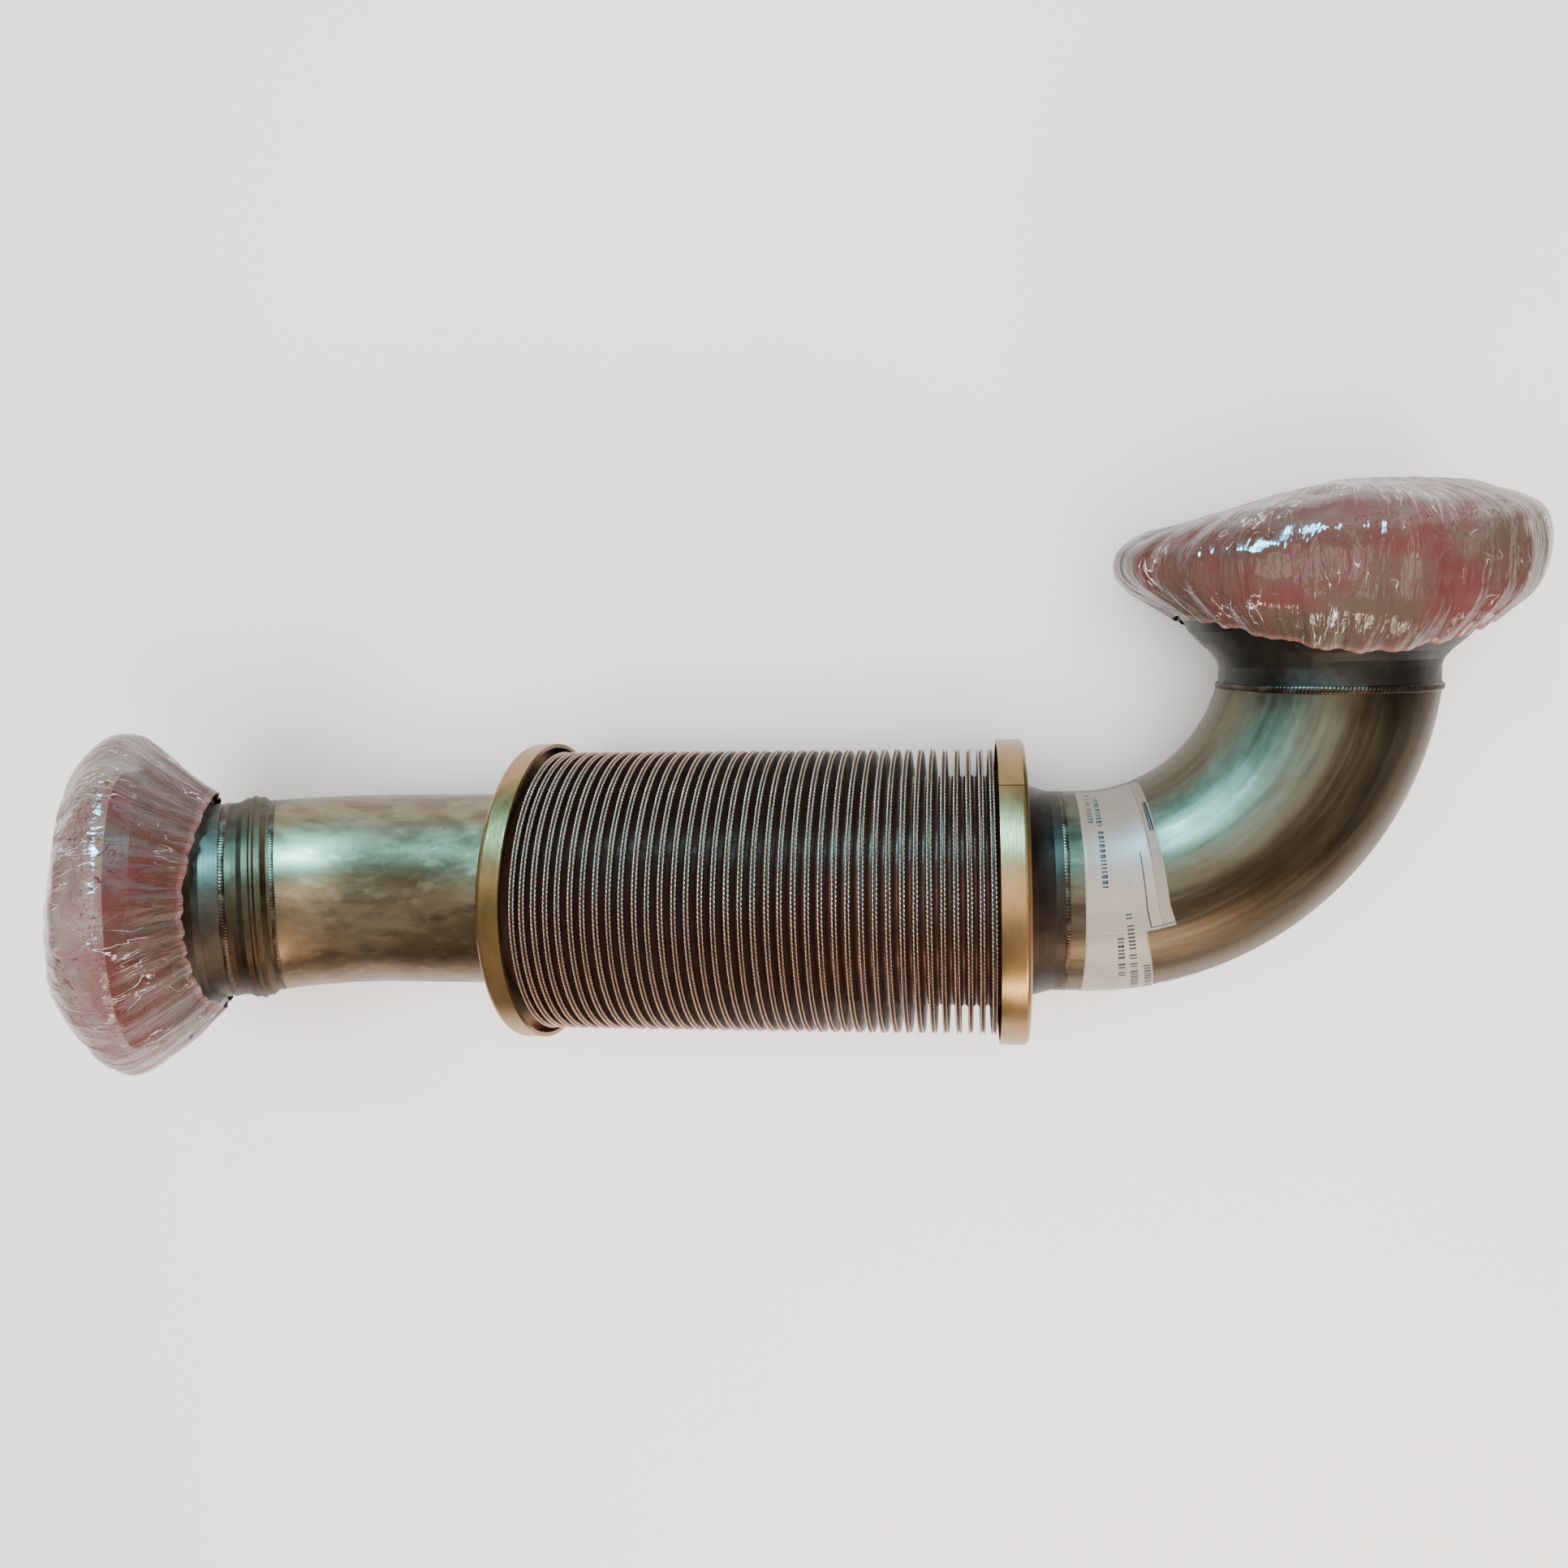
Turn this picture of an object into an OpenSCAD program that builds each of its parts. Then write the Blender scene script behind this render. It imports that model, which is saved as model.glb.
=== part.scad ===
// Exhaust flex pipe: a multi-convolution metal bellows between a bent inlet pipe
// and a 90 degree outlet elbow, with a clamp flange at each end.
// The origin is the centre of the outlet flange's sealing face, +Y points out of it,
// the bellows axis is parallel to X, and +Z is away from the surface it lies on.

/* [Pipe] */
// Outside diameter of the pipe
pipe_od = 101.6; // [98:0.1:104]
// Wall thickness of the pipe
pipe_t = 2; // [1.5:0.1:3]
// Centreline radius of both bends
bend_r = 122; // [110:1:140]
// Straight inlet pipe between the end ring's lip and the inlet bend
inlet_straight = 88; // [60:1:120]
// Angle of the inlet bend, out of the plane of the elbow
inlet_bend = 30; // [15:1:40]
// Height of the elbow's trimmed end above the bellows axis
elbow_leg = 104; // [96:1:112]
// Straight pipe between the outlet end ring's lip and the elbow's bend
outlet_straight = 42; // [38:1:60]

/* [Bellows] */
// Distance between the lips of the two end rings
flex_len = 236; // [220:1:260]
// Number of convolutions
waves = 38; // [30:1:40]
// Distance between two crests
pitch = 6.18; // [5.6:0.01:6.2]
// Radius at the crests
crest_r = 73.5; // [70:0.5:75]
// Radius at the roots, outside the outer ply
root_r = 58.75; // [58:0.05:60]
// Outside radius of one crest's rounded top
crest_round = 1.25; // [1:0.05:1.4]
// Thickness of one ply
ply_t = 0.35; // [0.3:0.01:0.4]

/* [End rings] */
// Outside diameter of the end rings
ring_od = 156; // [154:1:160]
// Sheet thickness of the end rings
ring_t = 2; // [1.5:0.1:2.5]
// Width of the inlet end ring's band
inlet_ring_w = 12; // [11:0.5:16]
// Width of the outlet end ring's band
outlet_ring_w = 14; // [13:0.5:16]

/* [Clamp flanges] */
// Length of an end fitting, from its weld to its sealing face
fitting_len = 45; // [44:1:60]
// Outside diameter of the flange rim
rim_od = 141; // [138:1:146]
// Length of the flange rim
rim_len = 11; // [9:0.5:12]
// Length of the inlet collar
collar_len = 20; // [16:1:26]

/* [Liner] */
// Outside radius of the two liner sleeves
liner_r = 47.4; // [46:0.1:48]
// Inside radius of the floating sleeve
sleeve_r = 51; // [50.5:0.1:52]
// Distance between the two centring rings
guide_gap = 56; // [40:1:80]

/* [Packing film] */
// Thickness of the film's stand-in wall
film_t = 1.2; // [1:0.1:2]
// Half height of the outlet film where it lies flat
film_half_z = 76.5; // [76:0.1:77]

/* [Hidden] */
$fn = 96;

pipe_r = pipe_od / 2;
bore_r = pipe_r - pipe_t;
ring_r = ring_od / 2;
rim_r = rim_od / 2;
axis_y = -elbow_leg - fitting_len;
// the elbow's trimmed end is centred on X = 0
bend_x = -sqrt(pow(bend_r, 2) - pow(bend_r - elbow_leg, 2));
outlet_lip_x = bend_x - outlet_straight;
inlet_lip_x = outlet_lip_x - flex_len;
mid_x = (outlet_lip_x + inlet_lip_x) / 2;
inlet_bend_x = inlet_lip_x - inlet_straight;
seam = 1;
// the inlet flange's face, measured from the end of the inlet bend
inlet_run = fitting_len + collar_len + 3 * seam;
neck_weld_x = outlet_lip_x + 32;
wave_half = pitch / 2;
root_round = wave_half - crest_round;
cuff_r = root_r - 2 * ply_t - 0.45;
neck_r = 53.9;
arc_steps = 4;

// ---------- placing ----------

// local +Z runs along the bellows axis towards the elbow, from X = x
module on_axis(x) {
    translate([x, axis_y, 0])
        rotate([0, 90, 0])
            children();
}

// local +Z runs out of the inlet flange, from the centre of its sealing face
module at_inlet() {
    translate([inlet_bend_x, axis_y, bend_r])
        rotate([0, inlet_bend, 0])
            translate([-inlet_run, 0, -bend_r])
                rotate([0, -90, 0])
                    children();
}

// local +Z runs out of the outlet flange, from the centre of its sealing face
module at_outlet() {
    rotate([-90, 0, 0])
        children();
}

module turned(points) {
    rotate_extrude()
        polygon(points);
}

module tube(r_out, r_in, z0, z1) {
    translate([0, 0, z0])
        difference() {
            cylinder(h = z1 - z0, r = r_out);
            translate([0, 0, -1])
                cylinder(h = z1 - z0 + 2, r = r_in);
        }
}

module pipe_section() {
    difference() {
        circle(r = pipe_r);
        circle(r = bore_r);
    }
}

// ---------- shared shapes ----------

// a butt weld: its root fills the gap between two pipe ends, its cap stands proud
module butt_weld(z, cap = 1.5, lift = 0.15) {
    translate([0, 0, z])
        turned([
            [bore_r + 0.2, -seam], [pipe_r + lift, -seam], [pipe_r + lift, -2.4],
            [pipe_r + lift + cap * 0.75, -1.4], [pipe_r + lift + cap, 0],
            [pipe_r + lift + cap * 0.75, 1.4], [pipe_r + lift, 2.4],
            [pipe_r + lift, seam], [bore_r + 0.2, seam]
        ]);
}

// the end fitting's flared sheet, from its weld to the back of the flange ring
module flare() {
    outline = [[0, 0], [0, 9], [0.9, 12.2], [4.2, 16.5], [9.6, 21.5], [14.6, 27], [17.4, 32.6]];
    z0 = -fitting_len + seam;
    outer = [for (p = outline) [pipe_r + p[0], z0 + p[1] * (fitting_len - rim_len - 2 * seam) / 32.6]];
    inner = [for (i = [len(outline) - 1:-1:0]) [outer[i][0] - pipe_t, outer[i][1]]];
    turned(concat(outer, inner));
}

// the machined flange ring with its conical seat inside
module flange() {
    seat = rim_r - 7.5;
    chamfer = 0.8;
    turned([
        [seat - 3, -rim_len], [rim_r - chamfer, -rim_len], [rim_r, -rim_len + chamfer],
        [rim_r, 0], [seat, 0]
    ]);
}

// fillet weld round the flare's large end, behind the flange ring
module flange_weld() {
    r = pipe_r + 17.4;
    turned([
        [r - pipe_t + 0.2, -rim_len - seam], [r + 0.1, -rim_len - seam],
        [r + 0.7, -rim_len - 0.7 * seam], [r + 1.1, -rim_len], [r - pipe_t + 0.2, -rim_len]
    ]);
}

// a stamped cup: band, rounded corner and back plate, its lip at z = 0
module end_ring(w, hole_r) {
    round = 3;
    steps = 5;
    corner = [for (i = [0:steps]) let (a = 90 * i / steps)
        [ring_r - round + round * cos(a), w - round + round * sin(a)]];
    inside = round - ring_t;
    inner_corner = [for (i = [steps:-1:0]) let (a = 90 * i / steps)
        [ring_r - round + inside * cos(a), w - round + inside * sin(a)]];
    turned(concat(
        [[ring_r - ring_t, 0], [ring_r, 0]],
        corner,
        [[hole_r, w], [hole_r, w - ring_t]],
        inner_corner
    ));
}

// one side of the convoluted wall, depth millimetres inside the outermost surface
function wall(depth) = [
    for (i = [0:waves - 1])
        let (x = (i - (waves - 1) / 2) * pitch)
            each concat(
                [for (k = [0:arc_steps])
                    let (a = -90 + 90 * k / arc_steps)
                        [root_r + root_round - (root_round + depth) * cos(90 + a),
                            x - wave_half + (root_round + depth) * sin(90 + a)]],
                [for (k = [0:2 * arc_steps])
                    let (a = 180 * k / (2 * arc_steps))
                        [crest_r - crest_round + (crest_round - depth) * sin(a),
                            x - (crest_round - depth) * cos(a)]],
                [for (k = [0:arc_steps - 1])
                    let (a = 90 * k / arc_steps)
                        [root_r + root_round - (root_round + depth) * sin(a),
                            x + wave_half - (root_round + depth) * cos(a)]]
            )
];

// one ply: the wall between two depths, with a plain cuff at each end
module ply(depth) {
    wave_end = waves * pitch / 2;
    cuff_end = flex_len / 2 + 7.5;
    outer = wall(depth);
    inner = wall(depth + ply_t);
    inner_back = [for (i = [len(inner) - 1:-1:0]) inner[i]];
    turned(concat(
        [[root_r - depth, -cuff_end]], outer,
        [[root_r - depth, wave_end], [root_r - depth, cuff_end], [root_r - depth - ply_t, cuff_end],
            [root_r - depth - ply_t, wave_end]],
        inner_back,
        [[root_r - depth - ply_t, -cuff_end]]
    ));
}

// a knitted centring ring: round outside, so the floating sleeve can tilt on it
module guide_ring() {
    half_w = 6;
    outer = sleeve_r - 0.35;
    inner = liner_r + 0.35;
    outline = [for (z = [-half_w:1.5:half_w]) [sqrt(pow(outer, 2) - pow(z, 2)), z]];
    turned(concat([[inner, -half_w]], outline, [[inner, half_w]]));
}

// a thin shell turned from an outline, with its walls film_t thick along the radius
module film(outline) {
    last = len(outline) - 1;
    inner = [for (i = [last:-1:0])
        [max(outline[i][0] - film_t * 1.3, 0), outline[i][1] - film_t * (i == last ? 1.4 : 0.6)]];
    turned(concat(outline, inner));
}

// ---------- inlet end ----------

module inlet_flange() {
    color("dimgray")
        at_inlet()
            flange();
}

module inlet_flange_weld() {
    color("slategray")
        at_inlet()
            flange_weld();
}

module inlet_flare() {
    color("dimgray")
        at_inlet()
            flare();
}

module inlet_seam_weld() {
    color("saddlebrown")
        at_inlet()
            butt_weld(-fitting_len, 1.1);
}

// the collar between the bent pipe and the flare, with a raised bead round it
module inlet_collar() {
    swell = 2.2;
    back = -fitting_len - seam;
    front = back - collar_len;
    bead = front + 8;
    color("rosybrown")
        at_inlet()
            turned([
                [bore_r, front], [pipe_r, front], [pipe_r, front + 1.5], [pipe_r + swell, front + 4],
                [pipe_r + swell, bead - 1.4], [pipe_r + swell + 0.9, bead - 0.5],
                [pipe_r + swell + 0.9, bead + 0.5], [pipe_r + swell, bead + 1.4],
                [pipe_r + swell, bead + 4], [pipe_r + 0.6, bead + 6.5],
                [pipe_r, back - 3], [pipe_r, back], [bore_r, back]
            ]);
}

module inlet_collar_weld() {
    color("peru")
        at_inlet()
            butt_weld(-fitting_len - collar_len - 2 * seam, 0.7);
}

module inlet_pipe() {
    color("lightslategray")
        translate([inlet_bend_x, axis_y, bend_r])
            rotate([90, 0, 0])
                rotate([0, 0, -90])
                    union() {
                        mirror([0, 1, 0])
                            rotate_extrude(angle = inlet_bend)
                                translate([bend_r, 0])
                                    pipe_section();
                        translate([bend_r, 0, 0])
                            rotate([-90, 0, 0])
                                tube(pipe_r, bore_r, 0, inlet_straight - 4);
                    }
}

// the hidden cup that carries the bellows' inlet cuff on the pipe
module inlet_neck() {
    seat_r = root_r - 2 * ply_t - 0.05;
    color("dimgray")
        on_axis(inlet_lip_x)
            turned([
                [pipe_r, -9.6], [seat_r, -9.6], [seat_r, 1], [seat_r - pipe_t, 1],
                [seat_r - pipe_t, -7.6], [pipe_r, -7.6]
            ]);
}

module inlet_end_ring() {
    color("goldenrod")
        on_axis(inlet_lip_x)
            mirror([0, 0, 1])
                end_ring(inlet_ring_w, pipe_r);
}

module inlet_liner() {
    end = flex_len / 2 - guide_gap / 2 + 10;
    color("silver")
        on_axis(inlet_lip_x)
            turned([
                [liner_r - 1, -24], [bore_r, -24], [bore_r, -12], [liner_r, -6],
                [liner_r, end], [liner_r - 1, end], [liner_r - 1, -6]
            ]);
}

// ---------- middle ----------

module inlet_guide_ring() {
    color("darkgray")
        on_axis(mid_x - guide_gap / 2)
            guide_ring();
}

module bellows_outer_ply() {
    color("rosybrown")
        on_axis(mid_x)
            ply(0);
}

module bellows_inner_ply() {
    color("silver")
        on_axis(mid_x)
            ply(ply_t + 0.05);
}

module floating_sleeve() {
    half = guide_gap / 2 + 14;
    color("silver")
        on_axis(mid_x)
            tube(sleeve_r + 1, sleeve_r, -half, half);
}

module outlet_guide_ring() {
    color("darkgray")
        on_axis(mid_x + guide_gap / 2)
            guide_ring();
}

// ---------- outlet end ----------

module outlet_liner() {
    end = flex_len / 2 - guide_gap / 2 + 10;
    color("silver")
        on_axis(outlet_lip_x)
            turned([
                [liner_r - 1, -end], [liner_r, -end], [liner_r, 21], [bore_r, 24],
                [bore_r, 30], [liner_r - 1, 30]
            ]);
}

module outlet_end_ring() {
    color("goldenrod")
        difference() {
            on_axis(outlet_lip_x)
                end_ring(outlet_ring_w, neck_r);
            // the butt seam left open across the rolled band
            on_axis(outlet_lip_x)
                rotate([0, 0, 128])
                    translate([ring_r - 1, -0.3, -1])
                        cube([2, 0.6, outlet_ring_w - 1]);
        }
}

// the swaged adapter between the bellows' outlet cuff and the elbow
module outlet_neck() {
    outer = [
        [cuff_r, -1], [cuff_r, 8], [neck_r, outlet_ring_w - ring_t], [neck_r, outlet_ring_w + 0.5],
        [53.1, 18], [51.9, 22], [pipe_r, 26.5], [pipe_r, 32 - seam]
    ];
    inner = [for (i = [len(outer) - 1:-1:0]) [outer[i][0] - pipe_t, outer[i][1]]];
    color("dimgray")
        on_axis(outlet_lip_x)
            turned(concat(outer, inner));
}

module outlet_neck_weld() {
    color("saddlebrown")
        on_axis(neck_weld_x)
            butt_weld(0, 0.9, 0);
}

module elbow() {
    top = axis_y + elbow_leg - seam;
    color("lightslategray")
        difference() {
            union() {
                on_axis(neck_weld_x + seam)
                    tube(pipe_r, bore_r, 0, bend_x - neck_weld_x - seam);
                translate([bend_x, axis_y + bend_r, 0])
                    rotate([0, 0, -90])
                        rotate_extrude(angle = 90)
                            translate([bend_r, 0])
                                pipe_section();
            }
            translate([-pipe_od, top, -pipe_od])
                cube(2 * pipe_od);
        }
}

module elbow_weld() {
    color("saddlebrown")
        at_outlet()
            butt_weld(-fitting_len, 1.4, 1.35);
}

module outlet_flare() {
    color("dimgray")
        at_outlet()
            flare();
}

module outlet_flange_weld() {
    color("slategray")
        at_outlet()
            flange_weld();
}

module outlet_flange() {
    color("dimgray")
        at_outlet()
            flange();
}

// a paper label wrapped round the start of the elbow, narrower on its lower part
module label() {
    lift = 0.12;
    thick = 0.25;
    color("white")
        translate([bend_x, axis_y + bend_r, 0])
            rotate([0, 0, -90])
                for (part = [[-90, 22, 18], [22, 88, 11.2]])
                    rotate_extrude(angle = part[2])
                        translate([bend_r, 0])
                            intersection() {
                                difference() {
                                    circle(r = pipe_r + lift + thick);
                                    circle(r = pipe_r + lift);
                                }
                                polygon([
                                    [0, 0],
                                    for (i = [0:6])
                                        let (a = part[0] + (part[1] - part[0]) * i / 6)
                                            [2 * pipe_r * sin(a), 2 * pipe_r * cos(a)]
                                ]);
                            }
}

// ---------- packing film ----------

module inlet_film_wrap() {
    color("pink")
        at_inlet()
            film([
                [56, -39], [61, -30], [71, -20], [79, -10], [84, -2], [84.5, 4], [81, 12],
                [72, 20], [58, 28], [36, 33], [0, 36]
            ]);
}

module outlet_film() {
    outline = [
        [67, -25], [76, -14], [86, -5], [96, 6], [100.5, 17], [99.5, 26], [94, 34], [80, 42],
        [50, 48], [0, 50]
    ];
    solid_out = concat(outline, [[0, -25]]);
    solid_in = concat(
        [for (i = [0:len(outline) - 1])
            [max(outline[i][0] - film_t * 1.3, 0), outline[i][1] - film_t * (i == 0 ? -0.01 : 1)]],
        [[0, -26]]
    );
    at_outlet()
        difference() {
            intersection() {
                turned(solid_out);
                cube([300, 2 * film_half_z, 300], center = true);
            }
            intersection() {
                turned(solid_in);
                cube([300, 2 * (film_half_z - film_t), 300], center = true);
            }
        }
}

module outlet_film_wrap() {
    color("pink")
        difference() {
            outlet_film();
            translate([-150, -100, -film_half_z - 10])
                cube([300, 200, 10 + film_t]);
        }
}

// the flat of the film that lies on whatever the part rests on
module outlet_film_base() {
    color("pink")
        intersection() {
            outlet_film();
            translate([-150, -100, -film_half_z - 10])
                cube([300, 200, 10 + film_t]);
        }
}

inlet_flange();
inlet_flange_weld();
inlet_flare();
inlet_seam_weld();
inlet_collar();
inlet_collar_weld();
inlet_pipe();
inlet_neck();
inlet_end_ring();
inlet_liner();
inlet_guide_ring();
bellows_outer_ply();
bellows_inner_ply();
floating_sleeve();
outlet_guide_ring();
outlet_liner();
outlet_end_ring();
outlet_neck();
outlet_neck_weld();
elbow();
elbow_weld();
outlet_flare();
outlet_flange_weld();
outlet_flange();
label();
inlet_film_wrap();
outlet_film_wrap();
outlet_film_base();
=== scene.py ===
import math
import random
import bpy
import numpy as np
from mathutils import Matrix, Vector, noise


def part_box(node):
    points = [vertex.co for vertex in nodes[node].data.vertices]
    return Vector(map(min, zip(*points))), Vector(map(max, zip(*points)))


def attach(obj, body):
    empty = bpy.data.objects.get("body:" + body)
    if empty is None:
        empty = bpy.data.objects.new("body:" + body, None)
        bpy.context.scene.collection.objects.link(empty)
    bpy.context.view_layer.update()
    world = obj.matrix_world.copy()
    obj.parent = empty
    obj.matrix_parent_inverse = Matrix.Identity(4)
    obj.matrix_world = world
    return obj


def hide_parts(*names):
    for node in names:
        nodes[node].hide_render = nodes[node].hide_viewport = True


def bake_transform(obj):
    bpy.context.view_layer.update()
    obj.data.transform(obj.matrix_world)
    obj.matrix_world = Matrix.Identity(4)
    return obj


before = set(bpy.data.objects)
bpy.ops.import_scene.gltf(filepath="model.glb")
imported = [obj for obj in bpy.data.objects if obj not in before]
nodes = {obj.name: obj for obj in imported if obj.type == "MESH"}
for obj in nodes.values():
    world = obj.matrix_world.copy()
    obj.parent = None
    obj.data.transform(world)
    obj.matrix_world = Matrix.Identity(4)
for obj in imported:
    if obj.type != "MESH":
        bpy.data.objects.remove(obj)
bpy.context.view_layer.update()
random.seed(7)

# ---------- places and sizes, in metres ----------
X, Y, Z = Vector((1, 0, 0)), Vector((0, 1, 0)), Vector((0, 0, 1))
MM = 0.001
# from the CAD's boxes: the end rings' inner lips hold the bellows
ring_in, ring_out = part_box("inlet_end_ring"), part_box("outlet_end_ring")
LIP_IN, LIP_OUT = ring_in[1].x, ring_out[0].x
AXIS_Y = (ring_in[0].y + ring_in[1].y) / 2
MID = (LIP_IN + LIP_OUT) / 2
FLOOR_Z = ring_out[0].z
# the same as in part.scad
PIPE_R = 0.0508
BEND_R = 0.122
LIP_TO_ELBOW = 0.042
LIP_TO_INLET_BEND = 0.088
INLET_TAIL = 0.068
INLET_TURN = math.radians(30)
BEND_C = Vector((LIP_OUT + LIP_TO_ELBOW, AXIS_Y + BEND_R, 0))
INLET_BEND_C = Vector((LIP_IN - LIP_TO_INLET_BEND, AXIS_Y, BEND_R))
# the inlet flange's axis, pointing out, the direction square to it that faces up, and its face
IN_DIR = Vector((-math.cos(INLET_TURN), 0, math.sin(INLET_TURN)))
IN_NEAR = Vector((math.sin(INLET_TURN), 0, math.cos(INLET_TURN)))
IN_FACE = INLET_BEND_C - IN_NEAR * BEND_R + IN_DIR * INLET_TAIL

# ---------- node graphs ----------
# painted shade: metal colours are darkened towards the bottom, fully below the first height and not at
# all above the second
PAINTED_SHADE_COLOUR = (0.035, 0.026, 0.018)
PAINTED_SHADE_FULL_Z, PAINTED_SHADE_NONE_Z = -0.052, 0.034


class Graph:
    """a material with one Principled shader, and short names for the nodes that feed it"""
    def __init__(self, name):
        self.m = bpy.data.materials.new(name)
        self.m.use_nodes = True
        self.t = self.m.node_tree
        self.t.nodes.clear()
        out = self.t.nodes.new("ShaderNodeOutputMaterial")
        self.b = self.t.nodes.new("ShaderNodeBsdfPrincipled")
        self.t.links.new(self.b.outputs[0], out.inputs[0])

    def put(self, socket, value):
        if isinstance(value, bpy.types.NodeSocket):
            self.t.links.new(value, socket)
        elif isinstance(value, tuple) and len(value) == 3 and socket.type == "RGBA":
            socket.default_value = (*value, 1)
        else:
            socket.default_value = value

    def set(self, **values):
        for k, v in values.items():
            self.put(self.b.inputs[k.replace("_", " ")], v)

    def coords(self):
        return self.t.nodes.new("ShaderNodeTexCoord").outputs["Object"]

    def uv(self):
        return self.t.nodes.new("ShaderNodeTexCoord").outputs["UV"]

    def split(self, v):
        n = self.t.nodes.new("ShaderNodeSeparateXYZ")
        self.put(n.inputs[0], v)
        return n.outputs[0], n.outputs[1], n.outputs[2]

    def join(self, x, y, z):
        n = self.t.nodes.new("ShaderNodeCombineXYZ")
        for i, v in enumerate((x, y, z)):
            self.put(n.inputs[i], v)
        return n.outputs[0]

    def math(self, op, a, b=0.0, clamp=False):
        n = self.t.nodes.new("ShaderNodeMath")
        n.operation = op
        n.use_clamp = clamp
        self.put(n.inputs[0], a)
        self.put(n.inputs[1], b)
        return n.outputs[0]

    def add(self, a, b, clamp=False):
        return self.math("ADD", a, b, clamp)

    def sub(self, a, b):
        return self.math("SUBTRACT", a, b)

    def mul(self, a, b):
        return self.math("MULTIPLY", a, b)

    def hypot(self, a, b):
        return self.math("SQRT", self.add(self.mul(a, a), self.mul(b, b)))

    def arc(self, a, b, radius):
        """the angle of (b, a) as a length on a circle of this radius"""
        return self.mul(self.math("ARCTAN2", a, b), radius)

    def noise(self, v, scale, detail, rough=0.55, warp=0.0):
        n = self.t.nodes.new("ShaderNodeTexNoise")
        self.put(n.inputs["Vector"], v)
        n.inputs["Scale"].default_value = scale
        n.inputs["Detail"].default_value = detail
        n.inputs["Roughness"].default_value = rough
        n.inputs["Distortion"].default_value = warp
        return n.outputs[0]

    def cells(self, v, scale):
        """distance to the nearest of some scattered points"""
        n = self.t.nodes.new("ShaderNodeTexVoronoi")
        self.put(n.inputs["Vector"], v)
        n.inputs["Scale"].default_value = scale
        return n.outputs["Distance"]

    def step(self, v, low, high, to_low=0.0, to_high=1.0):
        n = self.t.nodes.new("ShaderNodeMapRange")
        n.interpolation_type = "SMOOTHSTEP"
        for i, x in enumerate((v, low, high, to_low, to_high)):
            self.put(n.inputs[i], x)
        return n.outputs[0]

    def line(self, v, at, outer, inner=0.0):
        """1 where v is close to at, falling to 0 at the distance outer"""
        return self.step(self.math("ABSOLUTE", self.sub(v, at)), outer, inner)

    def mix(self, f, a, b):
        n = self.t.nodes.new("ShaderNodeMix")
        n.data_type = "RGBA"
        self.put(n.inputs[0], f)
        self.put(n.inputs[6], a)
        self.put(n.inputs[7], b)
        return n.outputs[2]

    def ramp(self, v, *stops):
        n = self.t.nodes.new("ShaderNodeValToRGB")
        e = n.color_ramp.elements
        while len(e) < len(stops):
            e.new(0.5)
        for k, (at, c) in zip(e, stops):
            k.position = at
            k.color = (*c, 1)
        self.put(n.inputs[0], v)
        return n.outputs[0]

    def with_painted_shade_below(self, colour, least=0.42):
        """the same colour with painted shade low down, darker towards the bottom; least is what is left
        of it there
        """
        z = self.split(self.coords())[2]
        dirt_and_shade = self.step(z, PAINTED_SHADE_FULL_Z, PAINTED_SHADE_NONE_Z, 1.0 - least, 0.0)
        return self.mix(dirt_and_shade, colour, PAINTED_SHADE_COLOUR)

    def bump(self, height, distance, strength, under=None):
        n = self.t.nodes.new("ShaderNodeBump")
        self.put(n.inputs["Height"], height)
        n.inputs["Strength"].default_value = strength
        n.inputs["Distance"].default_value = distance
        if under is not None:
            self.put(n.inputs["Normal"], under)
        return n.outputs[0]

    # each of these gives (distance along, distance round, radius) in metres, about one axis
    def pipe_coords(self, centre, along):
        x, y, z = self.split(self.coords())
        if along == "x":
            a, b, s = self.sub(y, centre[1]), self.sub(z, centre[2]), self.sub(x, centre[0])
        else:
            a, b, s = self.sub(x, centre[0]), self.sub(z, centre[2]), self.sub(y, centre[1])
        return s, self.arc(a, b, PIPE_R), self.hypot(a, b)

    def inlet_coords(self):
        """about the axis of the inlet flange, with distance along from its face outwards"""
        x, y, z = self.split(self.coords())
        dx, dz = self.sub(x, IN_FACE.x), self.sub(z, IN_FACE.z)
        s = self.add(self.mul(dx, IN_DIR.x), self.mul(dz, IN_DIR.z))
        b = self.add(self.mul(dx, IN_NEAR.x), self.mul(dz, IN_NEAR.z))
        a = self.sub(y, AXIS_Y)
        return s, self.arc(a, b, PIPE_R), self.hypot(a, b)

    def bend_coords(self):
        """along the elbow; here the last value is the distance from the bend's centre"""
        x, y, z = self.split(self.coords())
        dx, dy = self.sub(x, BEND_C.x), self.sub(y, BEND_C.y)
        out = self.hypot(dx, dy)
        s = self.arc(dx, self.mul(dy, -1.0), BEND_R)
        return s, self.arc(z, self.sub(out, BEND_R), PIPE_R), out


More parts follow.
